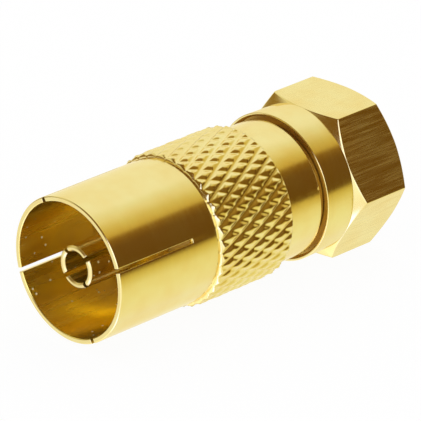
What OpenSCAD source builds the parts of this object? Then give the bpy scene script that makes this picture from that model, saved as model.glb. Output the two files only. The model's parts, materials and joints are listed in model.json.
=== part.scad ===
// Coaxial adapter: an F plug with a turning nut at one end, a slotted aerial socket at the other.
// The axis is X. x = 0 is the mouth of the aerial socket, and the nut is at the far end.
// Angles round the axis are counted from +Z towards -Y.

/* [Aerial socket] */
// Outside diameter of the slotted sleeve
sleeve_od = 10.65; // [10.4:0.05:10.7]
// Bore of the sleeve, which takes the aerial plug
sleeve_bore = 9.9; // [9.6:0.02:9.96]
// Length of the sleeve, from its mouth to the grip
sleeve_len = 9.35; // [8.8:0.05:11]
// Depth of the sleeve's bore
sleeve_depth = 8.6; // [8:0.1:8.7]
// Length of the two saw cuts across the sleeve
slit_len = 7.05; // [4:0.05:7.8]
// Width of each saw cut
slit_w = 0.3; // [0.2:0.02:0.6]
// Angle of the first saw cut
slit_angle = 70; // [0:1:90]
// Angle from the first saw cut to the second
slit_turn = 80.5; // [60:0.5:90]
// Lead-in chamfer inside the mouth
mouth_chamfer = 0.05; // [0.02:0.01:0.12]
// Outer edge bevel at the mouth
mouth_bevel = 0.06; // [0.02:0.01:0.1]

/* [Grip and collar] */
// Diameter over the knurl
knurl_od = 11.36; // [11.3:0.02:12.4]
// Length of the knurled band
knurl_len = 7.05; // [5:0.05:10]
// Number of diamonds round the band
knurl_count = 36; // [24:1:44]
// Number of half diamonds along the band
knurl_rows = 7; // [4:1:9]
// Depth of the knurl's grooves
knurl_depth = 0.22; // [0.1:0.01:0.33]
// Share of each diamond that is left flat on top
knurl_flat = 0.45; // [0.1:0.05:0.6]
// How far the end diamonds are bevelled
knurl_bevel = 0.1; // [0.02:0.01:0.15]
// Angle of the first groove crossing
knurl_angle = 8; // [0:1:10]
// Diameter of the smooth collar behind the grip
collar_od = 10.3; // [10:0.05:10.6]
// Length of the collar
collar_len = 3.27; // [2:0.01:5]
// Chamfer on the collar's edge
collar_chamfer = 0.12; // [0.05:0.01:0.3]

/* [Coupling nut] */
// Width of the hexagon across its flats
hex_af = 11; // [10.9:0.05:12]
// Length of the hexagon
hex_len = 4.94; // [3.5:0.01:6]
// Slope of the chamfer on the hexagon's ends, in degrees
hex_slope = 30; // [15:1:40]
// Length of the round skirt
skirt_len = 2.57; // [2.2:0.01:4.5]
// Diameter of the skirt at its rim
skirt_rim_od = 11.06; // [10.96:0.02:11.4]
// Bevel on the skirt's rim
rim_bevel = 0.05; // [0.03:0.01:0.06]
// Minor diameter of the nut's fine thread
thread_minor_d = 8.74; // [8.7:0.02:8.9]
// Diameter of the relief behind the thread
relief_d = 9.6; // [9.55:0.05:9.8]
// Length of the relief behind the thread
relief_len = 0.7; // [0.3:0.1:1.2]
// Countersink at the nut's open end
nut_lead_in = 0.45; // [0.2:0.05:0.7]
// Thickness of the lip that turns on the ferrule
lip_t = 1.2; // [0.8:0.1:1.6]
// Diameter of the recess in front of the lip
recess_d = 10.5; // [10.4:0.02:10.54]
// Depth of the recess in front of the lip
recess_depth = 0.4; // [0.3:0.05:0.8]
// Chamfer at the mouth of the recess
recess_chamfer = 0.14; // [0.05:0.01:0.14]

/* [Ferrule] */
// Outside diameter of the ferrule's tube
ferrule_od = 6.5; // [6.2:0.1:6.9]
// Bore of the ferrule at its insulator
ferrule_bore = 4.6; // [4:0.1:5]
// Bore of the ferrule behind its insulator
ferrule_back_bore = 3.8; // [3:0.1:3.9]
// Diameter of the flange that keeps the nut on
flange_d = 8.1; // [7.6:0.1:8.5]
// Thickness of the flange
flange_t = 0.8; // [0.5:0.05:1.2]
// How far the ferrule's tube goes into the body
ferrule_seat = 5.07; // [3.5:0.01:6]

/* [Centre contact] */
// Outside diameter of the slotted contact tube
contact_od = 3.15; // [2.9:0.05:3.4]
// Bore of the contact tube, which takes the aerial plug's pin
contact_bore = 2.3; // [2.2:0.02:2.4]
// How far the contact tube stands back from the sleeve's mouth
contact_setback = 0.7; // [0.2:0.1:1.5]
// Depth of the contact's bore
contact_depth = 6.5; // [5:0.1:7]
// Length of the two saw cuts across the contact tube
contact_slit_len = 5.4; // [3:0.1:5.8]
// Width of the two saw cuts across the contact tube
contact_slit_w = 0.32; // [0.2:0.02:0.4]
// Angle of the contact's first saw cut
contact_slit_angle = 46; // [0:1:90]
// Bevel inside and outside the contact's mouth
contact_bevel = 0.12; // [0.05:0.01:0.18]
// Diameter of the contact's stem inside the body
stem_d = 2; // [1.6:0.1:2.4]
// Diameter of the shank that the plug's insulator grips
shank_d = 1.4; // [1.3:0.05:1.6]
// Diameter of the plug's centre pin
pin_d = 0.9; // [0.7:0.05:0.95]
// How far the pin stands out of the nut
pin_reach = 0.6; // [0:0.1:2]
// Length of the pin's rounded point
pin_point = 0.25; // [0.1:0.05:0.4]

/* [Insulators] */
// Diameter of the socket's insulator
socket_ins_d = 7.2; // [6.4:0.1:8]
// Length of the socket's insulator
socket_ins_len = 5.2; // [4:0.1:6]
// How far the socket's insulator stands out of its seat
socket_ins_proud = 0.4; // [0.1:0.1:0.8]
// How far the contact's shoulder is sunk in the socket's insulator
shoulder_depth = 1; // [0.6:0.1:1.6]
// Length of the plug's insulator
plug_ins_len = 4.45; // [3:0.05:5.5]
// How far the plug's insulator lies behind the flange's face
plug_ins_setback = 0.2; // [0:0.05:0.5]

/* [Fits] */
// Clearance at a turned seat, on the radius
seat_gap = 0.01; // [0.005:0.005:0.03]
// Running clearance between the nut and the ferrule, on the radius
run_gap = 0.05; // [0.02:0.01:0.09]
// End clearance on each side of the nut's lip
end_gap = 0.05; // [0.02:0.01:0.1]
// Open gap between the collar and the nut's rim
nut_gap = 0.26; // [0.05:0.01:0.35]

/* [Hidden] */
$fn = 96;
gold = [0.87, 0.72, 0.3];
pale_gold = [0.9, 0.78, 0.42];
dark_gold = [0.72, 0.55, 0.18];
natural_white = [0.92, 0.92, 0.88];
phenolic_brown = [0.42, 0.27, 0.12];
over = 1;                               // how far a cutter runs past what it cuts

// Stations along the axis
knurl_x = sleeve_len;
collar_x = knurl_x + knurl_len;
collar_end = collar_x + collar_len;
rim_x = collar_end + nut_gap;
lip_x = rim_x + recess_depth;
lip_end = lip_x + lip_t;
hex_x = rim_x + skirt_len;
nut_end = hex_x + hex_len;
spigot_end = lip_x - end_gap;
flange_x = lip_end + end_gap;
flange_end = flange_x + flange_t;
ferrule_x = collar_end - ferrule_seat;
ins_seat_x = sleeve_depth - socket_ins_proud + socket_ins_len;
shoulder_x = sleeve_depth - socket_ins_proud + shoulder_depth;
plug_ins_end = flange_end - plug_ins_setback;
plug_ins_x = plug_ins_end - plug_ins_len;
stem_end = plug_ins_x - seat_gap;
pin_end = nut_end + pin_reach;

// Radii that follow from the fits
spigot_r = recess_d / 2 - (recess_d - flange_d) / 4;
lip_r = ferrule_od / 2 + run_gap;
web_r = ferrule_back_bore / 2;
hex_corner_r = hex_af / 2 / cos(30);
hex_land_r = hex_af / 2 - 0.02;
hex_chamfer = (hex_corner_r - hex_land_r) * tan(hex_slope);
knurl_top_r = knurl_od / 2;
knurl_root_r = knurl_top_r - knurl_depth;
knurl_core_r = min(sleeve_od, collar_od) / 2 - 0.15;

// A turned piece. The outline is a list of [radius, station].
module turned(outline) {
    rotate([0, 90, 0]) rotate_extrude() polygon(outline);
}

// A plain round bar from one station to another.
module bar(r, x0, x1) {
    translate([x0, 0, 0]) rotate([0, 90, 0]) cylinder(r = r, h = x1 - x0);
}

// Saw cuts right across a tube's end, each at its own angle.
module saw_cuts(angles, width, length, outer_r) {
    reach = outer_r + over;
    for (a = angles)
        rotate([a, 0, 0])
            translate([-over, -width / 2, -reach]) cube([length + over, width, 2 * reach]);
}

// ---- Diamond knurl ----
// Two families of grooves cross round the band. Crossings lie on rows half a diamond apart, and
// each row is turned by half a diamond from the last. Each diamond has four sloping sides and a
// small flat top. The diamonds on the first and last rows are cut in half by the band's faces.
step = 360 / knurl_count;
half_pitch = knurl_len / knurl_rows;

function knurl_point(x, r, a) = [x, -r * sin(a), r * cos(a)];
function row_shift(k) = (k % 2) / 2;
function row_x(k) = knurl_x + k * half_pitch;
function crossing_angle(k, m) = knurl_angle + (m + row_shift(k)) * step;
function is_end(k) = k == 0 || k == knurl_rows;

// The top corners of one diamond: low angle, far end, high angle, near end.
function top_corners(k, m) =
    let (a = crossing_angle(k, m) + step / 2, w = knurl_flat * step / 2,
         l = knurl_flat * half_pitch, side_r = knurl_top_r - (is_end(k) ? knurl_bevel : 0))
    [knurl_point(row_x(k), side_r, a - w),
     if (k < knurl_rows) knurl_point(row_x(k) + l, knurl_top_r, a),
     knurl_point(row_x(k), side_r, a + w),
     if (k > 0) knurl_point(row_x(k) - l, knurl_top_r, a)];

knurl_points = concat(
    [for (k = [0 : knurl_rows], m = [0 : knurl_count - 1])
        knurl_point(row_x(k), knurl_root_r, crossing_angle(k, m))],
    [for (k = [0, knurl_rows], m = [0 : knurl_count - 1])
        knurl_point(row_x(k), knurl_core_r, crossing_angle(k, m))],
    [for (k = [0 : knurl_rows], m = [0 : knurl_count - 1]) each top_corners(k, m)]);

// Places of those points in the list
tops_from = knurl_count * (knurl_rows + 3);
function crossing(k, m) = k * knurl_count + m % knurl_count;
function core(end, m) = (knurl_rows + 1 + end) * knurl_count + m % knurl_count;
function top(k, m, corner) =
    tops_from + (k == 0 ? 3 * m : knurl_count * (4 * k - 1) + (k == knurl_rows ? 3 : 4) * m)
    + corner;
function quad(a, b, c, d) = [[a, b, c], [a, c, d]];

// One whole diamond, one diamond halved by the near face, one halved by the far face
function whole_diamond(k, m) =
    let (low = crossing(k, m), high = crossing(k, m + 1), far = crossing(k + 1, m + k % 2),
         near = crossing(k - 1, m + k % 2), t = [for (c = [0 : 3]) top(k, m, c)])
    concat(quad(low, far, t[1], t[0]), quad(far, high, t[2], t[1]), quad(high, near, t[3], t[2]),
           quad(near, low, t[0], t[3]), quad(t[0], t[1], t[2], t[3]));
function near_half(m) =
    let (low = crossing(0, m), high = crossing(0, m + 1), far = crossing(1, m),
         t = [for (c = [0 : 2]) top(0, m, c)])
    concat(quad(low, far, t[1], t[0]), quad(far, high, t[2], t[1]), [[t[0], t[1], t[2]]],
           [[low, t[0], t[2], high, core(0, m + 1), core(0, m)]]);
function far_half(m) =
    let (k = knurl_rows, low = crossing(k, m), high = crossing(k, m + 1),
         near = crossing(k - 1, m + k % 2), t = [for (c = [0 : 2]) top(k, m, c)])
    concat(quad(high, near, t[2], t[1]), quad(near, low, t[0], t[2]), [[t[0], t[1], t[2]]],
           [[high, t[1], t[0], low, core(1, m), core(1, m + 1)]]);
function core_strip(m) = concat(
    [[core(0, m), core(0, m + 1), core(1, m)]],
    [[core(0, m + 1), core(1, m + 1), core(1, m)]]);

module knurl() {
    polyhedron(knurl_points, convexity = 8, faces = [for (m = [0 : knurl_count - 1]) each concat(
        near_half(m), far_half(m), core_strip(m),
        [for (k = [1 : knurl_rows - 1]) each whole_diamond(k, m)])]);
}

// ---- Pieces ----
// Slotted sleeve, knurled grip and collar, turned from one bar.
module socket_body() {
    sleeve_r = sleeve_od / 2;
    bore_r = sleeve_bore / 2;
    seat_r = socket_ins_d / 2;
    back_r = ferrule_od / 2 + seat_gap;
    collar_r = collar_od / 2;
    color(gold) union() {
        difference() {
            turned([
                [bore_r + mouth_chamfer, 0], [sleeve_r - mouth_bevel, 0], [sleeve_r, mouth_bevel],
                [sleeve_r, knurl_x], [collar_r, knurl_x + knurl_len / 2],
                [collar_r, collar_end - collar_chamfer], [collar_r - collar_chamfer, collar_end],
                [spigot_r, collar_end], [spigot_r, spigot_end], [back_r, spigot_end],
                [back_r, ferrule_x], [web_r, ferrule_x], [web_r, ins_seat_x],
                [seat_r + seat_gap, ins_seat_x], [seat_r + seat_gap, sleeve_depth],
                [bore_r, sleeve_depth], [bore_r, mouth_chamfer]]);
            saw_cuts([slit_angle, slit_angle + slit_turn], slit_w, slit_len, sleeve_r);
        }
        knurl();
    }
}

// Hexagonal nut with a round skirt. Its inner lip turns between the collar and the flange.
module coupling_nut() {
    rim_r = skirt_rim_od / 2;
    recess_r = recess_d / 2;
    thread_r = thread_minor_d / 2;
    color(pale_gold) difference() {
        union() {
            turned([
                [0, rim_x], [rim_r - rim_bevel, rim_x], [rim_r, rim_x + rim_bevel],
                [hex_land_r, hex_x], [0, hex_x]]);
            intersection() {
                translate([hex_x, 0, 0]) rotate([0, 90, 0]) rotate([0, 0, 30])
                    cylinder(r = hex_corner_r, h = hex_len, $fn = 6);
                turned([
                    [0, hex_x], [hex_land_r, hex_x], [hex_corner_r, hex_x + hex_chamfer],
                    [hex_corner_r, nut_end - hex_chamfer], [hex_land_r, nut_end], [0, nut_end]]);
            }
        }
        turned([
            [0, rim_x - over], [recess_r + recess_chamfer, rim_x - over],
            [recess_r + recess_chamfer, rim_x], [recess_r, rim_x + recess_chamfer],
            [recess_r, lip_x], [0, lip_x]]);
        bar(lip_r, rim_x, lip_end + over);
        turned([
            [0, lip_end], [relief_d / 2, lip_end], [relief_d / 2, lip_end + relief_len],
            [thread_r, lip_end + relief_len], [thread_r, nut_end - nut_lead_in],
            [thread_r + nut_lead_in, nut_end], [thread_r + nut_lead_in, nut_end + over],
            [0, nut_end + over]]);
    }
}

// Flanged tube pressed into the body. Its flange keeps the nut on and meets the F socket.
module ferrule() {
    tube_r = ferrule_od / 2;
    color(dark_gold) turned([
        [web_r, ferrule_x], [tube_r, ferrule_x], [tube_r, flange_x], [flange_d / 2, flange_x],
        [flange_d / 2, flange_end], [ferrule_bore / 2, flange_end], [ferrule_bore / 2, plug_ins_x],
        [web_r, plug_ins_x]]);
}

// Slotted contact tube, stem and plug pin, turned from one bar.
module centre_contact() {
    tube_r = contact_od / 2;
    bore_r = contact_bore / 2;
    stem_r = stem_d / 2;
    shank_r = shank_d / 2;
    pin_r = pin_d / 2;
    bore_end = contact_setback + contact_depth;
    color(pale_gold) difference() {
        turned([
            [0, bore_end], [bore_r, bore_end], [bore_r, contact_setback + contact_bevel],
            [bore_r + contact_bevel, contact_setback], [tube_r - contact_bevel, contact_setback],
            [tube_r, contact_setback + contact_bevel], [tube_r, shoulder_x], [stem_r, shoulder_x],
            [stem_r, stem_end], [shank_r, stem_end], [shank_r, plug_ins_end],
            [pin_r, plug_ins_end], [pin_r, pin_end - pin_point], [pin_r / 2, pin_end],
            [0, pin_end]]);
        translate([contact_setback, 0, 0])
            saw_cuts([contact_slit_angle, contact_slit_angle + 90], contact_slit_w,
                     contact_slit_len, tube_r);
    }
}

// Brown phenolic bush that centres the contact in the socket end of the body.
module socket_insulator() {
    outer_r = socket_ins_d / 2;
    tube_hole_r = contact_od / 2 + seat_gap;
    stem_hole_r = stem_d / 2 + seat_gap;
    color(phenolic_brown) turned([
        [tube_hole_r, ins_seat_x - socket_ins_len], [outer_r, ins_seat_x - socket_ins_len],
        [outer_r, ins_seat_x], [stem_hole_r, ins_seat_x], [stem_hole_r, shoulder_x],
        [tube_hole_r, shoulder_x]]);
}

// Natural white bush that centres the pin in the ferrule.
module plug_insulator() {
    outer_r = ferrule_bore / 2 - seat_gap;
    hole_r = shank_d / 2 + seat_gap;
    color(natural_white) turned([
        [hole_r, plug_ins_x], [outer_r, plug_ins_x], [outer_r, plug_ins_end],
        [hole_r, plug_ins_end]]);
}

socket_body();
coupling_nut();
ferrule();
centre_contact();
socket_insulator();
plug_insulator();
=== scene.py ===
import json
import math

import bmesh
import bpy
from mathutils import Matrix, Vector, noise


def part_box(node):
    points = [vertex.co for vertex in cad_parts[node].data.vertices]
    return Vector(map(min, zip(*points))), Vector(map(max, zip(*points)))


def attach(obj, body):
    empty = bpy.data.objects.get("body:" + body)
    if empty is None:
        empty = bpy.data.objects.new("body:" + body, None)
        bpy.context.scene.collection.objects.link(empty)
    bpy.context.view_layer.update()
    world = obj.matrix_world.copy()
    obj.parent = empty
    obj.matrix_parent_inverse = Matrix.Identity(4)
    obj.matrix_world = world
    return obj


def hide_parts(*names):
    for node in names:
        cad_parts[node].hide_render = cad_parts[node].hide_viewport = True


bl_info = {
    "name": "Coaxial adapter",
    "version": (1, 0, 0),
    "blender": (4, 5, 0),
    "location": "3D view > Sidebar > Adapter",
    "description": "Dresses the solids of a gold-plated coaxial adapter and lights them",
    "category": "Object",
}

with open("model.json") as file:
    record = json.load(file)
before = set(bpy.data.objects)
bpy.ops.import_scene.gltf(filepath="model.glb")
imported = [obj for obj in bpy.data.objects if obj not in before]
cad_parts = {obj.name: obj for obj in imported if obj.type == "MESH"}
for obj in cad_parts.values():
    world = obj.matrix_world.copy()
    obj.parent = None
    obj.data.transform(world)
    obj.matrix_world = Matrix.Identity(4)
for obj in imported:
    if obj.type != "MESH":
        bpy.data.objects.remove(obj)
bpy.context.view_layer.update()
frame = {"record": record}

# ---------------------------------------------------------------------------
# Sizes that come from the solids, in metres. The axis is X. Angles round it
# are counted from +Z towards -Y.
# ---------------------------------------------------------------------------
MM = 0.001

body_low, body_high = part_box("socket_body")
nut_low, nut_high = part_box("coupling_nut")
ferrule_low, ferrule_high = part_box("ferrule")
contact_low, contact_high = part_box("centre_contact")
bush_low, bush_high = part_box("socket_insulator")
bead_low, bead_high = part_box("plug_insulator")
mount_r = {mount["name"]: mount["dims"]["r_mm"] * MM for mount in frame["record"]["mounts"]}

knurl_r = body_high.z                  # over the knurl's crests
bore_r = mount_r["aerial_socket"]      # sleeve's bore
pin_r = mount_r["f_pin"]
socket_r = mount_r["centre_socket"]    # contact tube's bore
thread_r = mount_r["f_thread"]         # crests of the nut's thread
corner_r = nut_high.y                  # from the axis to the hexagon's corners
flat_r = corner_r * math.cos(math.radians(30))
flange_r = ferrule_high.z
bush_r = bush_high.z
bead_r = bead_high.z
tube_r = contact_high.z

# Clearances and inner sizes of the solids, which their boxes and mounts don't give
SEAT_GAP = 0.01 * MM          # round a bush or the ferrule in its seat
RUN_GAP = 0.05 * MM           # between the nut's lip and the ferrule
END_GAP = 0.05 * MM           # between the spigot's end and the nut's lip
LIP = 1.2 * MM                # thickness of the nut's lip
RECESS_R = 5.25 * MM          # nut's recess round the spigot
RECESS_CHAMFER = 0.14 * MM
FLANGE = 0.8 * MM             # thickness of the ferrule's flange
FERRULE_R = 3.25 * MM
FERRULE_BORE_R = 2.3 * MM
WEB_R = 1.9 * MM              # hole through the body's and the ferrule's webs
RELIEF_R = 4.8 * MM           # relief behind the nut's thread
RELIEF = 0.7 * MM             # its length
LEAD_IN = 0.45 * MM           # chamfer in front of the thread
LAND_STEP = 0.02 * MM         # the hexagon's chamfers start this far inside its flats
SOCKET_DEPTH = 8.6 * MM
CONTACT_BORE_END = 7.2 * MM
SHOULDER_X = 9.2 * MM         # where the contact steps down to its stem
STEM_R = 1.0 * MM
SHANK_R = 0.7 * MM
PIN_POINT = 0.25 * MM

spigot_end = body_high.x
spigot_r = (RECESS_R + flange_r) / 2
lip_x = spigot_end + END_GAP
lip_end = lip_x + LIP
land_r = flat_r - LAND_STEP


# ---------------------------------------------------------------------------
# Sizes, colours and stage that a user would change
# ---------------------------------------------------------------------------
def length(label, text, millimetres):
    return bpy.props.FloatProperty(
        name=label, description=text, default=millimetres * MM, precision=5, unit="LENGTH"
    )


def turn(label, text, degrees):
    return bpy.props.FloatProperty(
        name=label, description=text, default=math.radians(degrees), unit="ROTATION"
    )


def count(label, text, number):
    return bpy.props.IntProperty(name=label, description=text, default=number, min=1)


def share(label, text, value, highest=1.0):
    return bpy.props.FloatProperty(
        name=label, description=text, default=value, min=0.0, max=highest, subtype="FACTOR"
    )


def colour(label, text, value):
    return bpy.props.FloatVectorProperty(
        name=label, description=text, default=value, size=3, min=0.0, max=1.0, subtype="COLOR"
    )


class AdapterSizes(bpy.types.PropertyGroup):
    sleeve_r: length("Sleeve radius", "Outside of the slotted sleeve", 5.325)
    mouth_chamfer: length("Mouth chamfer", "Lead-in chamfer inside the mouth", 0.05)
    mouth_bevel: length("Mouth bevel", "Outer edge bevel at the mouth", 0.06)
    slit_length: length("Slit length", "Length of the saw cuts across the sleeve", 7.05)
    slit_width: length("Slit width", "Width of the saw cuts across the sleeve", 0.3)
    slit_angle: turn("Slit angle", "Angle of the sleeve's first saw cut", 70)
    slit_turn: turn("Second slit", "From the sleeve's first saw cut to its second", 80.5)
    knurl_start: length("Knurl start", "Where the knurled band begins", 9.35)
    knurl_end: length("Knurl end", "Where the knurled band ends", 16.4)
    knurl_depth: length("Knurl depth", "Depth of the knurl's deeper grooves", 0.18)
    knurl_cross: share("Cross grooves", "Depth of the other grooves against these", 0.66)
    knurl_bevel: length("Knurl bevel", "Bevel on each end of the knurled band", 0.22)
    knurl_count: count("Diamonds", "Diamonds round the knurled band", 36)
    knurl_rows: count("Diamond rows", "Half diamonds along the knurled band", 7)
    knurl_angle: turn("Knurl angle", "Angle of the knurl's first groove crossing", 8)
    collar_r: length("Collar radius", "Outside of the smooth collar", 5.15)
    collar_end: length("Collar end", "Where the collar ends", 19.67)
    rim_r: length("Rim radius", "Outside of the nut's skirt at its rim", 5.53)
    skirt_length: length("Skirt length", "Length of the nut's round skirt", 2.57)
    hex_slope: turn("Hexagon slope", "Slope of the chamfer on the hexagon's ends", 30)
    thread_pitch: length("Thread pitch", "Pitch of the nut's thread, 32 to the inch", 0.794)
    thread_depth: length("Thread depth", "Depth of the nut's thread", 0.39)
    contact_slit_length: length("Contact slit length", "Length of the contact's slits", 5.4)
    contact_slit_width: length("Contact slit width", "Width of the contact's slits", 0.32)
    contact_slit_angle: turn("Contact slit angle", "Angle of the contact's first slit", 46)
    edge: length("Edge", "Softening of a machined edge", 0.03)


class AdapterColours(bpy.types.PropertyGroup):
    gold: colour("Gold", "Bright plating", (0.88, 0.76, 0.36))
    warm_gold: colour("Warm gold", "Plating where it is thin", (0.86, 0.68, 0.27))
    # Brighter, warmer tone in the bores, the nut's thread and the contact tube: painted bounce
    # light
    bounce_lit_bore_gold: colour("Bore gold", "Plating inside the socket", (0.98, 0.81, 0.18))
    # Darker, browner tone for the gap behind the nut: painted shade where the parts meet
    shaded_dull_gold: colour("Dull gold", "Plating in the gap behind the nut", (0.78, 0.55, 0.15))
    satin_gold: colour("Satin gold", "Plating on the contact's ends", (0.88, 0.73, 0.33))
    phenolic: colour("Phenolic", "Brown bush of the socket", (0.72, 0.46, 0.1))
    natural_white: colour("Natural white", "Moulded bush of the plug", (0.86, 0.85, 0.79))
    polish: share("Roughness", "Roughness of the bright plating", 0.16)
    brushing: share("Brushed roughness", "Roughness of the nut's flats", 0.14)
    bored: share("Bored roughness", "Roughness of the plating inside the socket", 0.25)
    dulled: share("Dull roughness", "Roughness of the plating behind the nut", 0.45)
    satined: share("Satin roughness", "Roughness of the plating on the contact's ends", 0.3)


class AdapterStage(bpy.types.PropertyGroup):
    heading: turn("Camera heading", "Direction the camera looks, from +X towards +Y", 44.85)
    elevation: turn("Camera elevation", "How far the camera looks down", 25.97)
    roll: turn("Camera roll", "How far the camera leans to its left", 1.63)
    distance: length("Camera distance", "From the camera to the point it looks at", 315.8)
    aim_x: length("Aim", "Point on the axis that the camera looks at", 13.75)
    lens: bpy.props.FloatProperty(
        name="Lens", description="Focal length", default=383.6, unit="CAMERA"
    )
    light: share("Studio light", "Strength of the surrounding light", 1.0, 2.0)
    shadow: share("Shadow", "Share of the floor's white that a shadow can take", 0.06)


GROUPS = {
    "adapter_sizes": AdapterSizes,
    "adapter_colours": AdapterColours,
    "adapter_stage": AdapterStage,
}


# ---------------------------------------------------------------------------
# Turning and sawing
# ---------------------------------------------------------------------------
WHOLE_TURN = 2 * math.pi
RIGHT_ANGLE = math.radians(90)
WELD = 0.0001 * MM     # points closer together than this are one point
HAIR = 0.01 * MM       # allowance when a face's place is compared with a size
ALONG_THE_AXIS = 0.1   # a face whose normal has less X than this lies along the axis
TOWARDS_AN_END = 0.3   # a face whose normal has more X than this looks towards an end
CORNER_SHARE = 0.45    # most of a side that one softened corner takes
FINE_TURNING = 128     # sides of a large turned piece
SMALL_TURNING = 96     # sides of a small turned piece or of the floor
SLIT_COLUMNS = 4       # columns across a slit


def on_ring(x, radius, angle):
    """A point at a station and a radius, at an angle round the axis."""
    return Vector((x, -radius * math.sin(angle), radius * math.cos(angle)))


def evenly(first, last, steps):
    """Numbers from first to last, both included."""
    return [first + (last - first) * i / steps for i in range(steps + 1)]


def round_the_axis(sides):
    """Angles of even steps once round the axis."""
    return [WHOLE_TURN * i / sides for i in range(sides)]


def softened(corners, closed, steps=3):
    """An outline from corners of (radius, station, softening), with a small arc at each."""
    outline = []
    total = len(corners)
    for i, (radius, station, soft) in enumerate(corners):
        here = Vector((radius, station))
        at_end = not closed and i in (0, total - 1)
        if at_end or soft == 0:
            outline.append(here)
            continue
        before = Vector(corners[i - 1][:2]) - here
        after = Vector(corners[(i + 1) % total][:2]) - here
        start = here + before.normalized() * min(soft, CORNER_SHARE * before.length)
        end = here + after.normalized() * min(soft, CORNER_SHARE * after.length)
        for t in evenly(0, 1, steps):
            outline.append(start * (1 - t) ** 2 + here * 2 * t * (1 - t) + end * t * t)
    return [(point.x, point.y) for point in outline]


def skin(shape, columns):
    """Faces between neighbouring columns, which are closed loops, all the way round the axis."""
    made = [[shape.verts.new(point) for point in column] for column in columns]
    for left, right in zip(made, made[1:] + made[:1]):
        for k in range(len(left)):
            n = (k + 1) % len(left)
            shape.faces.new((left[k], left[n], right[n], right[k]))


def turned(corners, sides):
    """The shape of a turned ring from one closed outline."""
    shape = bmesh.new()
    outline = softened(corners, closed=True)
    skin(shape, [[on_ring(x, radius, a) for radius, x in outline] for a in round_the_axis(sides)])
    return shape


def points_at(outline, station):
    """Which points of an outline lie at a station."""
    return [k for k, (_, x) in enumerate(outline) if abs(x - station) < WELD]


def slit_centres(first, second):
    """Angles of the four slits that two saw cuts right across a tube leave."""
    cuts = (first, second)
    return sorted((cut + half * math.pi) % WHOLE_TURN for cut in cuts for half in (0, 1))


def saw_columns(centres, width, outer_r, spacing):
    """Columns round a slotted tube: (angle, its slit's centre, side of the slit)."""
    half = math.asin(width / 2 / outer_r)
    columns = []
    for centre, following in zip(centres, centres[1:] + [centres[0] + WHOLE_TURN]):
        for i, angle in enumerate(evenly(centre - half, centre + half, SLIT_COLUMNS)):
            side = {0: -1, SLIT_COLUMNS: 1}.get(i)
            columns.append((angle, centre, side))
        steps = round((following - centre - 2 * half) / spacing)
        for angle in evenly(centre + half, following - half, steps)[1:-1]:
            columns.append((angle, None, None))
    return columns


def slotted(shape, outline, closed, columns, near, far, width):
    """A turned tube with saw slits. Points near..far of the outline lie round the sawn wall."""
    made = {}

    def corner(column, k):
        angle, centre, side = columns[column]
        radius, x = outline[k]
        if side is not None and near <= k <= far:
            angle = centre + side * math.asin(width / 2 / radius)
        if (column, k) not in made:
            made[column, k] = shape.verts.new(on_ring(x, radius, angle))
        return made[column, k]

    points = len(outline)
    spans = points if closed else points - 1
    sawn_faces = []
    for c, (_, centre, side) in enumerate(columns):
        d = (c + 1) % len(columns)
        in_slit = centre is not None and side != 1
        for k in range(spans):
            if in_slit and near <= k < far:
                continue
            n = (k + 1) % points
            shape.faces.new((corner(c, k), corner(c, n), corner(d, n), corner(d, k)))
        if in_slit:
            end = (corner(c, near), corner(c, far), corner(d, far), corner(d, near))
            sawn_faces.append(shape.faces.new(end))
        if side is not None:
            wall = [corner(c, k) for k in range(near, far + 1)]
            sawn_faces.append(shape.faces.new(wall))
    weight = shape.edges.layers.float.get("bevel_weight_edge")
    weight = weight or shape.edges.layers.float.new("bevel_weight_edge")
    sawn = set(sawn_faces)
    for face in sawn_faces:
        for edge in face.edges:
            if not all(other in sawn for other in edge.link_faces) or len(face.verts) > 4:
                edge[weight] = 1.0


def finish_mesh(name, shape, materials, pick):
    """Welds the shape, gives each face its material and makes the object."""
    bmesh.ops.remove_doubles(shape, verts=shape.verts, dist=WELD)
    bmesh.ops.recalc_face_normals(shape, faces=shape.faces)
    mesh = bpy.data.meshes.new(name)
    for material in materials:
        mesh.materials.append(material)
    for face in shape.faces:
        face.smooth = True
        face.material_index = pick(face)
    shape.to_mesh(mesh)
    shape.free()
    piece = bpy.data.objects.new(name, mesh)
    bpy.context.scene.collection.objects.link(piece)
    return piece


def break_edges(piece, width):
    """A fine broken edge along the saw cuts."""
    bevel = piece.modifiers.new("broken edges", "BEVEL")
    bevel.limit_method = "WEIGHT"
    bevel.width = width
    bevel.segments = 2


def even_shading(piece):
    """Large faces decide how the small ones beside them are shaded."""
    weighted = piece.modifiers.new("even shading", "WEIGHTED_NORMAL")
    weighted.mode = "FACE_AREA"
    weighted.weight = 90
    weighted.keep_sharp = True


def stand_for(piece, node, body):
    """The piece takes the place of a solid and moves with its body."""
    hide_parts(node)
    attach(piece, body)


# ---------------------------------------------------------------------------
# Finishes
# ---------------------------------------------------------------------------
MIX_FIRST = 6                          # a colour mix node's inputs and output, by number
MIX_SECOND = 7
MIX_RESULT = 2
SEED_STEP = (1.0, 0.7, 1.3)            # moves a noise aslant, so that two never line up
GRAZING_TINT = (1.0, 0.95, 0.8, 1.0)   # plating seen edge on
DUST_TINT = (1.0, 0.9, 0.55, 1.0)
PLASTIC_CLOUD = 0.93                   # tone of the darker clouds in a moulded plastic

# Marks to a millimetre along X, Y and Z, as each kind of machining leaves them
TURNED_RINGS = (9.0, 0.25, 0.25)
KNURLED_GRAIN = (3.0, 3.0, 3.0)
BORED_STREAKS = (0.12, 2.2, 2.2)
BRUSHED_LINES = (0.25, 6.0, 6.0)


def wired(tree, kind, place, inputs=None, **settings):
    """A shader node with its settings and inputs. An input that is a socket is linked."""
    node = tree.nodes.new(kind)
    node.location = place
    for key, value in settings.items():
        setattr(node, key, value)
    for key, value in (inputs or {}).items():
        if isinstance(value, bpy.types.NodeSocket):
            tree.links.new(value, node.inputs[key])
        else:
            node.inputs[key].default_value = value
    return node


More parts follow.
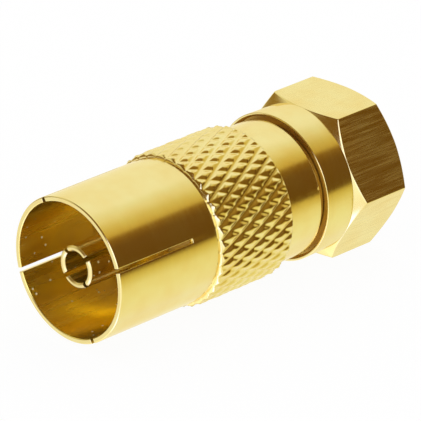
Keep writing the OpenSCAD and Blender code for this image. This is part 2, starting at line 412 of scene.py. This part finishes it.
def blank_material(name):
    material = bpy.data.materials.new(name)
    material.use_nodes = True
    material.node_tree.nodes.clear()
    return material, material.node_tree


def opaque(tone):
    return (*tone, 1.0)


def colour_mix(tree, place, factor, first, second):
    """The colour that lies between two others."""
    node = wired(tree, "ShaderNodeMix", place, {
        "Factor": factor,
        MIX_FIRST: first,
        MIX_SECOND: second,
    }, data_type="RGBA")
    return node.outputs[MIX_RESULT]


def streaks(tree, place, stretch, detail, seed):
    """Noise with so many marks to a millimetre of the piece along each axis."""
    where = wired(tree, "ShaderNodeTexCoord", (place[0] - 400, place[1]))
    laid = wired(tree, "ShaderNodeMapping", (place[0] - 200, place[1]), {
        "Vector": where.outputs["Object"],
        "Location": tuple(seed * step for step in SEED_STEP),
        "Scale": tuple(s / MM for s in stretch),
    })
    return wired(tree, "ShaderNodeTexNoise", place, {
        "Vector": laid.outputs["Vector"],
        "Scale": 1.0,
        "Detail": detail,
        "Roughness": 0.6,
    })


def plating(name, tone, deep_tone, roughness, marks, mark_height, uneven=(0.8, 1.25), specks=0.0):
    """Bright gold plate over machined brass, with the tool's marks still showing."""
    material, tree = blank_material(name)
    clouds = streaks(tree, (-800, 500), (0.35, 0.35, 0.35), 2.0, 3.0)
    tool = streaks(tree, (-800, 100), marks, 4.0, 11.0)
    spread = wired(tree, "ShaderNodeMapRange", (-650, 350), {
        "Value": clouds.outputs["Fac"],
        "From Min": 0.35,
        "From Max": 0.75,
    })
    tint = colour_mix(tree, (-500, 500), spread.outputs["Result"], opaque(tone), opaque(deep_tone))
    rough = wired(tree, "ShaderNodeMapRange", (-500, 100), {
        "Value": tool.outputs["Fac"],
        "From Min": 0.3,
        "From Max": 0.7,
        "To Min": roughness * uneven[0],
        "To Max": roughness * uneven[1],
    })
    bump = wired(tree, "ShaderNodeBump", (-500, -150), {
        "Strength": 1.0,
        "Distance": mark_height,
        "Height": tool.outputs["Fac"],
    })
    metal = wired(tree, "ShaderNodeBsdfPrincipled", (-200, 200), {
        "Base Color": tint,
        "Metallic": 1.0,
        "Specular Tint": GRAZING_TINT,
        "Roughness": rough.outputs["Result"],
        "Normal": bump.outputs["Normal"],
    })
    surface = speckled(tree, metal, specks) if specks else metal
    end = wired(tree, "ShaderNodeOutputMaterial", (300, 200))
    tree.links.new(surface.outputs[0], end.inputs["Surface"])
    return material


def speckled(tree, metal, specks):
    """Small pale specks of dust on the plating, one to a cell and so many cells to a millimetre."""
    where = wired(tree, "ShaderNodeTexCoord", (-1200, -400))
    cells = wired(tree, "ShaderNodeTexVoronoi", (-1000, -400), {
        "Vector": where.outputs["Object"],
        "Scale": specks / MM,
    })
    dot = wired(tree, "ShaderNodeMapRange", (-800, -400), {
        "Value": cells.outputs["Distance"],
        "From Min": 0.09,
        "From Max": 0.13,
        "To Min": 0.8,
        "To Max": 0.0,
    })
    dust = wired(tree, "ShaderNodeBsdfDiffuse", (-200, -300), {"Color": DUST_TINT})
    return wired(tree, "ShaderNodeMixShader", (100, 0), {
        "Fac": dot.outputs["Result"],
        1: metal.outputs["BSDF"],
        2: dust.outputs["BSDF"],
    })


def moulded_plastic(name, tone):
    """Natural moulded insulator, slightly waxy."""
    material, tree = blank_material(name)
    clouds = streaks(tree, (-800, 300), (0.6, 0.6, 0.6), 2.0, 5.0)
    grain = streaks(tree, (-800, 0), (9.0, 9.0, 9.0), 3.0, 8.0)
    clouded = opaque([c * PLASTIC_CLOUD for c in tone])
    tint = colour_mix(tree, (-500, 300), clouds.outputs["Fac"], opaque(tone), clouded)
    bump = wired(tree, "ShaderNodeBump", (-500, -150), {
        "Strength": 0.5,
        "Distance": 0.004 * MM,
        "Height": grain.outputs["Fac"],
    })
    plastic = wired(tree, "ShaderNodeBsdfPrincipled", (-200, 200), {
        "Base Color": tint,
        "Roughness": 0.48,
        "Normal": bump.outputs["Normal"],
    })
    end = wired(tree, "ShaderNodeOutputMaterial", (100, 200))
    tree.links.new(plastic.outputs["BSDF"], end.inputs["Surface"])
    return material


def gold_finishes(colours):
    """The plating over each kind of machining, with painted shade in the gap behind the nut and
    painted bounce light in the bores.
    """
    gold = colours.gold
    warm = colours.warm_gold
    shaded_dull = colours.shaded_dull_gold
    satin = colours.satin_gold
    return {
        "turned": plating("turned_gold", gold, warm, colours.polish,
                          TURNED_RINGS, 0.0006 * MM),
        "knurled": plating("knurled_gold", gold, warm, colours.polish,
                           KNURLED_GRAIN, 0.003 * MM),
        # Painted bounce light: a brighter, warmer tone, with the bore's own roughness and streaks
        "bored": plating("bored_gold", colours.bounce_lit_bore_gold, warm, colours.bored,
                         BORED_STREAKS, 0.0025 * MM, specks=1.25),
        "brushed": plating("brushed_gold", gold, warm, colours.brushing,
                           BRUSHED_LINES, 0.0008 * MM, uneven=(0.5, 3.0)),
        # Painted shade: the gap behind the nut takes a darker tone, and its roughness is higher too
        "shaded_dull": plating("shaded_dull_gold", shaded_dull, shaded_dull, colours.dulled,
                        TURNED_RINGS, 0.001 * MM),
        "satin": plating("satin_gold", satin, satin, colours.satined,
                         TURNED_RINGS, 0.0002 * MM, uneven=(0.9, 1.1)),
    }


def finishes(context):
    """The gold finishes by kind, made once and then shared by the pieces."""
    if "turned_gold" not in bpy.data.materials:
        return gold_finishes(context.scene.adapter_colours)
    kinds = ("turned", "knurled", "bored", "brushed", "shaded_dull", "satin")
    return {kind: bpy.data.materials[kind + "_gold"] for kind in kinds}


# ---------------------------------------------------------------------------
# Socket body
# ---------------------------------------------------------------------------
CROSS_FORM = 1.5         # a higher form makes narrower grooves
MAIN_FORM = 1.8
GROOVE_BLEND = 0.15      # share of the depth over which the two grooves run together
PER_DIAMOND = 20         # points round the axis to a diamond
PER_ROW = 10             # points along the axis to half a diamond
WEAR = 0.06              # share by which the ridges' height differs
WEAR_ROUND = 5.0         # how often it changes round the axis and along it
WEAR_ALONG = 1.3
CORE_DEPTH = 0.15 * MM   # from the collar's surface in to the band's hidden inside
COLLAR_SOFT = 0.12 * MM
SLEEVE_SPACING = math.radians(1.5)
SAWN_EDGE = 0.03 * MM


def groove(position, form):
    """1 at a groove's bottom, where the position is a whole number, and 0 halfway to the next."""
    return ((1 + math.cos(WHOLE_TURN * position)) / 2) ** form


def knurl_height(u, v, cross):
    """Height of the knurl, 0 to 1. Grooves lie where u or v is a whole number."""
    first = 1 - cross * groove(u, CROSS_FORM)
    second = 1 - groove(v, MAIN_FORM)
    mix = max(GROOVE_BLEND - abs(first - second), 0.0) / GROOVE_BLEND
    return max(min(first, second) - mix * mix * GROOVE_BLEND / 4, 0.0)


def knurled_band(shape, sizes):
    """Diamond-knurled band, as a closed ring round the bar."""
    start = sizes.knurl_start
    rows = sizes.knurl_rows * PER_ROW
    half_pitch = (sizes.knurl_end - start) / sizes.knurl_rows
    step = WHOLE_TURN / sizes.knurl_count
    core_r = sizes.collar_r - CORE_DEPTH
    columns = []
    for i in range(sizes.knurl_count * PER_DIAMOND):
        t = i / PER_DIAMOND
        angle = sizes.knurl_angle + t * step
        across = math.sin(angle) * WEAR_ROUND
        up = math.cos(angle) * WEAR_ROUND
        column = []
        for j in range(rows + 1):
            s = j / PER_ROW
            worn = noise.noise(Vector((across, up, s * WEAR_ALONG)))
            height = knurl_height(t - s / 2, t + s / 2, sizes.knurl_cross) * (1 + WEAR * worn)
            to_end = min(j, rows - j) / PER_ROW * half_pitch
            lowered = max(sizes.knurl_bevel - to_end, 0.0)
            radius = knurl_r - max(sizes.knurl_depth * (1 - min(height, 1.0)), lowered)
            column.append(on_ring(start + s * half_pitch, radius, angle))
        column.append(on_ring(sizes.knurl_end, core_r, angle))
        column.append(on_ring(start, core_r, angle))
        columns.append(column)
    skin(shape, columns)


def make_socket_body(sizes, metals):
    """Slotted sleeve, knurled grip and collar."""
    edge = sizes.edge
    seat_r = bush_r + SEAT_GAP
    back_r = FERRULE_R + SEAT_GAP
    hidden_x = (sizes.knurl_start + sizes.knurl_end) / 2
    corners = [
        (bore_r, SOCKET_DEPTH, edge),
        (bore_r, sizes.slit_length, 0),
        (bore_r, sizes.mouth_chamfer, edge),
        (bore_r + sizes.mouth_chamfer, 0, edge),
        (sizes.sleeve_r - sizes.mouth_bevel, 0, edge),
        (sizes.sleeve_r, sizes.mouth_bevel, edge),
        (sizes.sleeve_r, sizes.slit_length, 0),
        (sizes.sleeve_r, sizes.knurl_start, 0),
        (sizes.collar_r, hidden_x, 0),
        (sizes.collar_r, sizes.collar_end, COLLAR_SOFT),
        (spigot_r, sizes.collar_end, edge),
        (spigot_r, spigot_end, edge),
        (back_r, spigot_end, edge),
        (back_r, ferrule_low.x, 0),
        (WEB_R, ferrule_low.x, edge),
        (WEB_R, bush_high.x, edge),
        (seat_r, bush_high.x, 0),
        (seat_r, SOCKET_DEPTH, edge),
    ]
    outline = softened(corners, closed=True)
    near, far = points_at(outline, sizes.slit_length)
    cuts = slit_centres(sizes.slit_angle, sizes.slit_angle + sizes.slit_turn)
    columns = saw_columns(cuts, sizes.slit_width, sizes.sleeve_r, SLEEVE_SPACING)
    shape = bmesh.new()
    slotted(shape, outline, True, columns, near, far, sizes.slit_width)
    knurled_band(shape, sizes)

    def finish_of(face):
        spot = face.calc_center_median()
        radius = math.hypot(spot.y, spot.z)
        in_band = sizes.knurl_start - HAIR < spot.x < sizes.knurl_end + HAIR
        if in_band and radius > sizes.collar_r - CORE_DEPTH - HAIR:
            return 1
        # Faces past the collar, in the gap under the nut, take the painted shade
        if spot.x > sizes.collar_end - HAIR:
            return 3
        # The bore takes the painted bounce light
        return 2 if radius < bore_r + sizes.mouth_chamfer else 0

    kinds = [metals[kind] for kind in ("turned", "knurled", "bored", "shaded_dull")]
    piece = finish_mesh("socket_body_metal", shape, kinds, finish_of)
    break_edges(piece, SAWN_EDGE)
    even_shading(piece)
    stand_for(piece, "socket_body", "adapter_body")


# ---------------------------------------------------------------------------
# Coupling nut
# ---------------------------------------------------------------------------
SIXTH = math.radians(60)
CORNER_FILLET = 0.08 * MM
PER_CORNER = 4          # steps round a corner of the hexagon
PER_SIDE = 30           # steps along a side of it
PER_THREAD = 16         # points to one pitch of the thread
CREST_FLAT = 0.1        # shares of half a pitch that a crest and a flank of the thread take
THREAD_FLANK = 0.75
THREAD_ROUNDING = 0.35  # how round the thread's flanks are, 0 to 1
RECESS_SOFT = 0.02 * MM
RIM_SOFT = 0.05 * MM
LAND_SOFT = 0.01 * MM
SHOULDER_SOFT = 0.12 * MM
OPEN_END_SOFT = 0.04 * MM

# Each corner's fillet: its centre's distance from the axis, and the angle from the corner to
# where it meets a side
fillet_centre = (flat_r - CORNER_FILLET) / math.cos(SIXTH / 2)
fillet_angle = math.atan2(CORNER_FILLET * math.sin(SIXTH / 2),
                          fillet_centre + CORNER_FILLET * math.cos(SIXTH / 2))


def hexagon_radius(angle):
    """From the axis to the hexagon's side, with a small fillet at each corner."""
    off_corner = (angle % SIXTH) - SIXTH / 2
    if abs(off_corner) < fillet_angle:
        across = fillet_centre * math.sin(off_corner)
        reach = math.sqrt(CORNER_FILLET * CORNER_FILLET - across * across)
        return fillet_centre * math.cos(off_corner) + reach
    return flat_r / math.cos(SIXTH / 2 - abs(off_corner))


def hexagon_columns():
    """Angles round the hexagon, closer together at its corners."""
    angles = []
    for side in range(6):
        corner = side * SIXTH + SIXTH / 2
        angles += [corner + a for a in evenly(-fillet_angle, fillet_angle, PER_CORNER)]
        between = evenly(fillet_angle, SIXTH - fillet_angle, PER_SIDE)[1:-1]
        angles += [corner + a for a in between]
    return angles


def thread_rows(sizes, angle):
    """Radius and station of the nut's bore, from its open end back to the relief."""
    start = lip_end + RELIEF
    steps = round((nut_high.x - start) / sizes.thread_pitch * PER_THREAD)
    rows = []
    for x in evenly(nut_high.x, start, steps):
        bore = max(thread_r, thread_r + LEAD_IN - (nut_high.x - x))
        turn_share = (x / sizes.thread_pitch + angle / WHOLE_TURN) % 1.0
        off_crest = abs(turn_share - 0.5) * 2
        deep = max(0.0, min(1.0, (off_crest - CREST_FLAT) / THREAD_FLANK))
        rounded = deep * deep * (3 - 2 * deep)
        deep = rounded * THREAD_ROUNDING + deep * (1 - THREAD_ROUNDING)
        rows.append((max(bore, thread_r + sizes.thread_depth * deep), x))
    return rows


def make_coupling_nut(sizes, metals):
    """Hexagonal nut with a round skirt and its thread."""
    edge = sizes.edge
    rim_x = nut_low.x
    hex_x = rim_x + sizes.skirt_length
    slope = math.tan(sizes.hex_slope)
    lip_r = FERRULE_R + RUN_GAP
    columns = []
    for angle in hexagon_columns():
        side_r = hexagon_radius(angle)
        outside = softened([
            (lip_r, lip_end, 0),
            (lip_r, lip_end, 0),
            (lip_r, lip_x, edge),
            (RECESS_R, lip_x, edge),
            (RECESS_R, rim_x + RECESS_CHAMFER, RECESS_SOFT),
            (RECESS_R + RECESS_CHAMFER, rim_x, RECESS_SOFT),
            (sizes.rim_r, rim_x, RIM_SOFT),
            (land_r, hex_x, LAND_SOFT),
            (side_r, hex_x + (side_r - land_r) * slope, SHOULDER_SOFT),
            (side_r, nut_high.x - (side_r - land_r) * slope, OPEN_END_SOFT),
            (land_r, nut_high.x, edge),
            (thread_r + LEAD_IN, nut_high.x, 0),
        ], closed=False)[1:-1]
        inside = thread_rows(sizes, angle)
        relief = softened([
            (inside[-1][0], inside[-1][1], 0),
            (RELIEF_R, lip_end + RELIEF, edge),
            (RELIEF_R, lip_end, edge),
            (lip_r, lip_end, 0),
        ], closed=False)[1:-1]
        outline = outside + inside + relief
        columns.append([on_ring(x, radius, angle) for radius, x in outline])
    shape = bmesh.new()
    skin(shape, columns)

    def finish_of(face):
        spot = face.calc_center_median()
        radius = math.hypot(spot.y, spot.z)
        # The thread takes the painted bounce light
        if radius < thread_r + LEAD_IN and spot.x > lip_end:
            return 2
        # The nut's recess and lip take the painted shade too
        if radius < RECESS_R + RECESS_CHAMFER and spot.x < lip_end:
            return 3
        on_flat = radius > land_r and spot.x > hex_x and abs(face.normal.x) < ALONG_THE_AXIS
        return 1 if on_flat else 0

    kinds = [metals[kind] for kind in ("turned", "brushed", "bored", "shaded_dull")]
    piece = finish_mesh("coupling_nut_metal", shape, kinds, finish_of)
    even_shading(piece)
    stand_for(piece, "coupling_nut", "nut")


# ---------------------------------------------------------------------------
# Ferrule, contact and insulators
# ---------------------------------------------------------------------------
FACE_SOFT = 0.08 * MM      # on the ferrule's and the bead's faces towards the open end
BUSH_SOFT = 0.12 * MM      # on the bush's face towards the mouth
TUBE_BEVEL = 0.12 * MM     # on both edges of the contact's mouth
TUBE_SPACING = math.radians(4)
TUBE_SAWN_EDGE = 0.02 * MM
POINT_SOFT = 0.1 * MM      # on the pin's point


def make_ferrule(sizes, metals):
    """Flanged tube that the nut turns on."""
    edge = sizes.edge
    flange_x = ferrule_high.x - FLANGE
    shape = turned([
        (WEB_R, ferrule_low.x, edge),
        (FERRULE_R, ferrule_low.x, edge),
        (FERRULE_R, flange_x, 0),
        (flange_r, flange_x, edge),
        (flange_r, ferrule_high.x, FACE_SOFT),
        (FERRULE_BORE_R, ferrule_high.x, FACE_SOFT),
        (FERRULE_BORE_R, bead_low.x, 0),
        (WEB_R, bead_low.x, edge),
    ], FINE_TURNING)
    piece = finish_mesh("ferrule_metal", shape, [metals["turned"]], lambda face: 0)
    even_shading(piece)
    stand_for(piece, "ferrule", "adapter_body")


def make_contact(sizes, metals):
    """Slotted contact tube, stem and plug pin."""
    edge = sizes.edge
    mouth = contact_low.x
    slit_end = mouth + sizes.contact_slit_length
    stem_end = bead_low.x - SEAT_GAP
    outline = softened([
        (0, CONTACT_BORE_END, 0),
        (socket_r, CONTACT_BORE_END, edge),
        (socket_r, slit_end, 0),
        (socket_r, mouth + TUBE_BEVEL, edge),
        (socket_r + TUBE_BEVEL, mouth, edge),
        (tube_r - TUBE_BEVEL, mouth, edge),
        (tube_r, mouth + TUBE_BEVEL, edge),
        (tube_r, slit_end, 0),
        (tube_r, SHOULDER_X, edge),
        (STEM_R, SHOULDER_X, 0),
        (STEM_R, stem_end, edge),
        (SHANK_R, stem_end, 0),
        (SHANK_R, bead_high.x, edge),
        (pin_r, bead_high.x, 0),
        (pin_r, contact_high.x - PIN_POINT, POINT_SOFT),
        (pin_r / 2, contact_high.x, POINT_SOFT),
        (0, contact_high.x, 0),
    ], closed=False, steps=4)
    near, far = points_at(outline, slit_end)
    cuts = slit_centres(sizes.contact_slit_angle, sizes.contact_slit_angle + RIGHT_ANGLE)
    columns = saw_columns(cuts, sizes.contact_slit_width, tube_r, TUBE_SPACING)
    shape = bmesh.new()
    slotted(shape, outline, False, columns, near, far, sizes.contact_slit_width)

    def finish_of(face):
        spot = face.calc_center_median()
        # The tube's sides take the painted bounce light, its ends the satin plating
        return 1 if spot.x < SHOULDER_X and abs(face.normal.x) < TOWARDS_AN_END else 0

    kinds = [metals[kind] for kind in ("satin", "bored")]
    piece = finish_mesh("centre_contact_metal", shape, kinds, finish_of)
    break_edges(piece, TUBE_SAWN_EDGE)
    even_shading(piece)
    stand_for(piece, "centre_contact", "adapter_body")


def make_insulators(sizes, brown, white):
    """The two bushes that hold the contact."""
    edge = sizes.edge
    tube_hole_r = tube_r + SEAT_GAP
    stem_hole_r = STEM_R + SEAT_GAP
    bead_hole_r = SHANK_R + SEAT_GAP
    bush = turned([
        (tube_hole_r, bush_low.x, edge),
        (bush_r, bush_low.x, BUSH_SOFT),
        (bush_r, bush_high.x, edge),
        (stem_hole_r, bush_high.x, edge),
        (stem_hole_r, SHOULDER_X, 0),
        (tube_hole_r, SHOULDER_X, 0),
    ], FINE_TURNING)
    piece = finish_mesh("socket_insulator_bush", bush, [brown], lambda face: 0)
    even_shading(piece)
    stand_for(piece, "socket_insulator", "adapter_body")
    bead = turned([
        (bead_hole_r, bead_low.x, edge),
        (bead_r, bead_low.x, edge),
        (bead_r, bead_high.x, FACE_SOFT),
        (bead_hole_r, bead_high.x, edge),
    ], SMALL_TURNING)
    piece = finish_mesh("plug_insulator_bush", bead, [white], lambda face: 0)
    even_shading(piece)
    stand_for(piece, "plug_insulator", "adapter_body")


# ---------------------------------------------------------------------------
# Stage
# ---------------------------------------------------------------------------
# What the plating sees is a white tent with amber and dark cards hung in it. Each ring of the
# tent lists its tones against the angle round the axis, in degrees from straight up towards
# the near side.
TENT = (1.0, 1.0, 0.9)
BRONZE_CARD = (0.15, 0.07, 0.005)
UMBER_CARD = (0.3, 0.18, 0.03)
BLACK_CARD = (0.2, 0.1, 0.01)
MOUTH_TENT = (1.4, 1.4, 1.4)
MOUTH_CLOTH = (1.0, 1.0, 0.95)
SIDE_LAMP = (1.7, 1.8, 2.6)
LOW_LAMP = (1.8, 1.9, 3.4)

# The tent's top, which goes over into an amber card, and its near side below the dark card
ABOVE = [
    (-180, TENT),
    (-12, (1.0, 1.0, 0.98)),
    (-4, (0.93, 0.93, 0.74)),
    (8, (0.89, 0.81, 0.5)),
    (20, (0.75, 0.62, 0.22)),
]
BELOW = [
    (96, (0.66, 0.5, 0.1)),
    (104, (0.78, 0.66, 0.22)),
    (116, (0.92, 0.86, 0.48)),
    (135, (0.97, 0.96, 0.66)),
]
# Towards the nut: a dark bronze card between the two
NUT_SIDE = ABOVE + [
    (33, (0.66, 0.47, 0.1)),
    (37, (0.25, 0.12, 0.008)),
    (50, BRONZE_CARD),
    (92, (0.14, 0.066, 0.005)),
] + BELOW + [
    (160, (1.0, 0.99, 0.8)),
    (180, TENT),
]
# Past the nut: the dark card is narrower and hangs lower
FAR_SIDE = ABOVE + [
    (62, (0.7, 0.55, 0.18)),
    (72, BRONZE_CARD),
    (106, BRONZE_CARD),
    (118, (0.75, 0.62, 0.2)),
    (135, (0.97, 0.96, 0.66)),
    (180, TENT),
]
# Between the nut's side and the mouth's: the dark card reaches further up
BETWEEN = [
    (-180, TENT),
    (-30, MOUTH_CLOTH),
    (-18, (0.8, 0.72, 0.36)),
    (-6, (0.55, 0.4, 0.1)),
    (6, (0.35, 0.2, 0.03)),
    (19, (0.28, 0.15, 0.015)),
    (92, (0.16, 0.08, 0.006)),
] + BELOW + [
    (180, TENT),
]
# Towards the socket's mouth: a dark card overhead, another on the far side, a lamp beside the
# overhead card and a second lamp low down
MOUTH_SIDE = [
    (-180, MOUTH_TENT),
    (-155, MOUTH_TENT),
    (-138, MOUTH_CLOTH),
    (-106, MOUTH_CLOTH),
    (-96, UMBER_CARD),
    (-76, UMBER_CARD),
    (-66, (0.95, 0.92, 0.7)),
    (-50, (0.8, 0.76, 0.5)),
    (-34, BLACK_CARD),
    (32, BLACK_CARD),
    (42, SIDE_LAMP),
    (60, SIDE_LAMP),
    (85, (1.25, 1.3, 1.4)),
    (125, (1.15, 1.15, 1.1)),
    (150, (1.1, 1.1, 1.05)),
    (156, LOW_LAMP),
    (168, LOW_LAMP),
    (180, MOUTH_TENT),
]
# The rings in order from the mouth's side, each with the share of +X in a ray's direction at
# which it starts to show and at which it has taken over
RINGS = ((BETWEEN, -0.15, 0.05), (NUT_SIDE, 0.45, 0.53), (FAR_SIDE, 0.76, 0.84))

FLOOR_R = 1.5              # in metres
FLOOR_TONE = (0.97, 0.97, 0.97, 1.0)
WHITE = (1.0, 1.0, 1.0, 1.0)
AIM_Y = 0.07 * MM          # the camera aims this far off the axis
AIM_Z = 0.11 * MM


def card_ramp(tree, place, cards, turn_share):
    """The tones of one ring of the tent, against the share of a turn round the axis."""
    node = wired(tree, "ShaderNodeValToRGB", place, {"Fac": turn_share})
    for degrees, tone in cards:
        stop = degrees / 360 + 0.5
        ramp = node.color_ramp
        element = ramp.elements.new(stop) if 0 < stop < 1 else ramp.elements[int(stop)]
        element.color = opaque(tone)
    return node.outputs["Color"]


def tent_colour(tree):
    """What a polished surface sees in the direction of its ray."""
    where = wired(tree, "ShaderNodeTexCoord", (-1500, 0))
    parts = wired(tree, "ShaderNodeSeparateXYZ", (-1300, 0), {
        "Vector": where.outputs["Generated"],
    })
    near = wired(tree, "ShaderNodeMath", (-1100, 100), {
        0: parts.outputs["Y"],
        1: -1.0,
    }, operation="MULTIPLY")
    angle = wired(tree, "ShaderNodeMath", (-900, 0), {
        0: near.outputs[0],
        1: parts.outputs["Z"],
    }, operation="ARCTAN2")
    share_round = wired(tree, "ShaderNodeMapRange", (-700, 0), {
        "Value": angle.outputs[0],
        "From Min": -math.pi,
        "From Max": math.pi,
    })
    turn_share = share_round.outputs["Result"]
    seen = card_ramp(tree, (-450, 0), MOUTH_SIDE, turn_share)
    for row, (cards, start, whole) in enumerate(RINGS):
        ahead = wired(tree, "ShaderNodeMapRange", (-450, 500 + 250 * row), {
            "Value": parts.outputs["X"],
            "From Min": start,
            "From Max": whole,
        })
        ring = card_ramp(tree, (-450, -250 - 250 * row), cards, turn_share)
        place = (-100 + 180 * row, 100)
        seen = colour_mix(tree, place, ahead.outputs["Result"], seen, ring)
    return seen


def light_tent(stage):
    """The world: white to the camera and to dull surfaces, and a tent with cards to the metal."""
    world = bpy.data.worlds.new("light_tent")
    world.use_nodes = True
    tree = world.node_tree
    tree.nodes.clear()
    tent = wired(tree, "ShaderNodeBackground", (150, 0), {
        "Color": tent_colour(tree),
        "Strength": stage.light,
    })
    white = wired(tree, "ShaderNodeBackground", (150, -150), {
        "Color": WHITE,
        "Strength": 1.0,
    })
    ray = wired(tree, "ShaderNodeLightPath", (150, 300))
    pick = wired(tree, "ShaderNodeMixShader", (350, 0), {
        "Fac": ray.outputs["Is Glossy Ray"],
        1: white.outputs["Background"],
        2: tent.outputs["Background"],
    })
    end = wired(tree, "ShaderNodeOutputWorld", (550, 0))
    tree.links.new(pick.outputs["Shader"], end.inputs["Surface"])
    bpy.context.scene.world = world


def pale_floor(stage):
    """Plain white floor that keeps a faint shadow."""
    shape = bmesh.new()
    bmesh.ops.create_circle(shape, cap_ends=True, segments=SMALL_TURNING, radius=FLOOR_R)
    floor = finish_mesh("floor", shape, [floor_paint(stage)], lambda face: 0)
    floor.location.z = body_low.z
    floor.visible_glossy = False


def floor_paint(stage):
    """White to the camera but for a share that the light and the shadow on it decide."""
    material, tree = blank_material("floor_paint")
    matt = wired(tree, "ShaderNodeBsdfDiffuse", (-300, -100), {"Color": FLOOR_TONE})
    glow = wired(tree, "ShaderNodeEmission", (-300, 100), {
        "Color": WHITE,
        "Strength": 1.0,
    })
    ray = wired(tree, "ShaderNodeLightPath", (-500, 300))
    lift = wired(tree, "ShaderNodeMath", (-300, 300), {
        0: ray.outputs["Is Camera Ray"],
        1: 1.0 - stage.shadow,
    }, operation="MULTIPLY")
    both = wired(tree, "ShaderNodeMixShader", (-100, 0), {
        "Fac": lift.outputs[0],
        1: matt.outputs["BSDF"],
        2: glow.outputs["Emission"],
    })
    end = wired(tree, "ShaderNodeOutputMaterial", (100, 0))
    tree.links.new(both.outputs["Shader"], end.inputs["Surface"])
    return material


def place_camera(stage):
    """Camera on the near side of the socket's mouth, looking down at the adapter."""
    look = Vector((
        math.cos(stage.elevation) * math.cos(stage.heading),
        math.cos(stage.elevation) * math.sin(stage.heading),
        -math.sin(stage.elevation),
    ))
    level = Vector((math.sin(stage.heading), -math.cos(stage.heading), 0))
    upright = level.cross(look)
    up = upright * math.cos(stage.roll) - level * math.sin(stage.roll)
    right = look.cross(up)
    data = bpy.data.cameras.new("camera")
    data.lens = stage.lens
    data.clip_start = 0.01
    data.clip_end = 20.0
    camera = bpy.data.objects.new("camera", data)
    bpy.context.scene.collection.objects.link(camera)
    aim = Vector((stage.aim_x, AIM_Y, AIM_Z))
    turn_to = Matrix((right, up, -look)).transposed().to_4x4()
    camera.matrix_world = Matrix.Translation(aim - look * stage.distance) @ turn_to
    bpy.context.scene.camera = camera


# ---------------------------------------------------------------------------
# Operators
# ---------------------------------------------------------------------------
class ADAPTER_OT_socket_body(bpy.types.Operator):
    """Slotted sleeve, knurled grip and collar"""
    bl_idname = "adapter.socket_body"
    bl_label = "Socket body"

    def execute(self, context):
        make_socket_body(context.scene.adapter_sizes, finishes(context))
        return {"FINISHED"}


class ADAPTER_OT_coupling_nut(bpy.types.Operator):
    """Hexagonal coupling nut with its skirt and thread"""
    bl_idname = "adapter.coupling_nut"
    bl_label = "Coupling nut"

    def execute(self, context):
        make_coupling_nut(context.scene.adapter_sizes, finishes(context))
        return {"FINISHED"}


class ADAPTER_OT_ferrule(bpy.types.Operator):
    """Flanged tube that the nut turns on"""
    bl_idname = "adapter.ferrule"
    bl_label = "Ferrule"

    def execute(self, context):
        make_ferrule(context.scene.adapter_sizes, finishes(context))
        return {"FINISHED"}


class ADAPTER_OT_centre_contact(bpy.types.Operator):
    """Slotted contact tube with its stem and pin"""
    bl_idname = "adapter.centre_contact"
    bl_label = "Centre contact"

    def execute(self, context):
        make_contact(context.scene.adapter_sizes, finishes(context))
        return {"FINISHED"}


class ADAPTER_OT_insulators(bpy.types.Operator):
    """The two bushes that hold the contact"""
    bl_idname = "adapter.insulators"
    bl_label = "Insulators"

    def execute(self, context):
        colours = context.scene.adapter_colours
        brown = moulded_plastic("phenolic", colours.phenolic)
        white = moulded_plastic("natural_white", colours.natural_white)
        make_insulators(context.scene.adapter_sizes, brown, white)
        return {"FINISHED"}


class ADAPTER_OT_stage(bpy.types.Operator):
    """Floor, light and camera"""
    bl_idname = "adapter.stage"
    bl_label = "Stage"

    def execute(self, context):
        stage = context.scene.adapter_stage
        pale_floor(stage)
        light_tent(stage)
        place_camera(stage)
        context.scene.view_settings.view_transform = "Standard"
        return {"FINISHED"}


OPERATORS = (
    ADAPTER_OT_socket_body,
    ADAPTER_OT_coupling_nut,
    ADAPTER_OT_ferrule,
    ADAPTER_OT_centre_contact,
    ADAPTER_OT_insulators,
    ADAPTER_OT_stage,
)


class ADAPTER_PT_panel(bpy.types.Panel):
    """Lists the adapter's pieces, sizes and colours"""
    bl_label = "Coaxial adapter"
    bl_idname = "ADAPTER_PT_panel"
    bl_space_type = "VIEW_3D"
    bl_region_type = "UI"
    bl_category = "Adapter"

    def draw(self, context):
        for operator in OPERATORS:
            self.layout.operator(operator.bl_idname)
        for name, group in GROUPS.items():
            box = self.layout.box()
            for key in group.__annotations__:
                box.prop(getattr(context.scene, name), key)


def register():
    for group in GROUPS.values():
        bpy.utils.register_class(group)
    for name, group in GROUPS.items():
        setattr(bpy.types.Scene, name, bpy.props.PointerProperty(type=group))
    for operator in OPERATORS:
        bpy.utils.register_class(operator)
    bpy.utils.register_class(ADAPTER_PT_panel)


def unregister():
    bpy.utils.unregister_class(ADAPTER_PT_panel)
    for operator in reversed(OPERATORS):
        bpy.utils.unregister_class(operator)
    for name, group in GROUPS.items():
        delattr(bpy.types.Scene, name)
        bpy.utils.unregister_class(group)


def main():
    register()
    bpy.ops.adapter.socket_body()
    bpy.ops.adapter.coupling_nut()
    bpy.ops.adapter.ferrule()
    bpy.ops.adapter.centre_contact()
    bpy.ops.adapter.insulators()
    bpy.ops.adapter.stage()


if __name__ == "__main__":
    main()
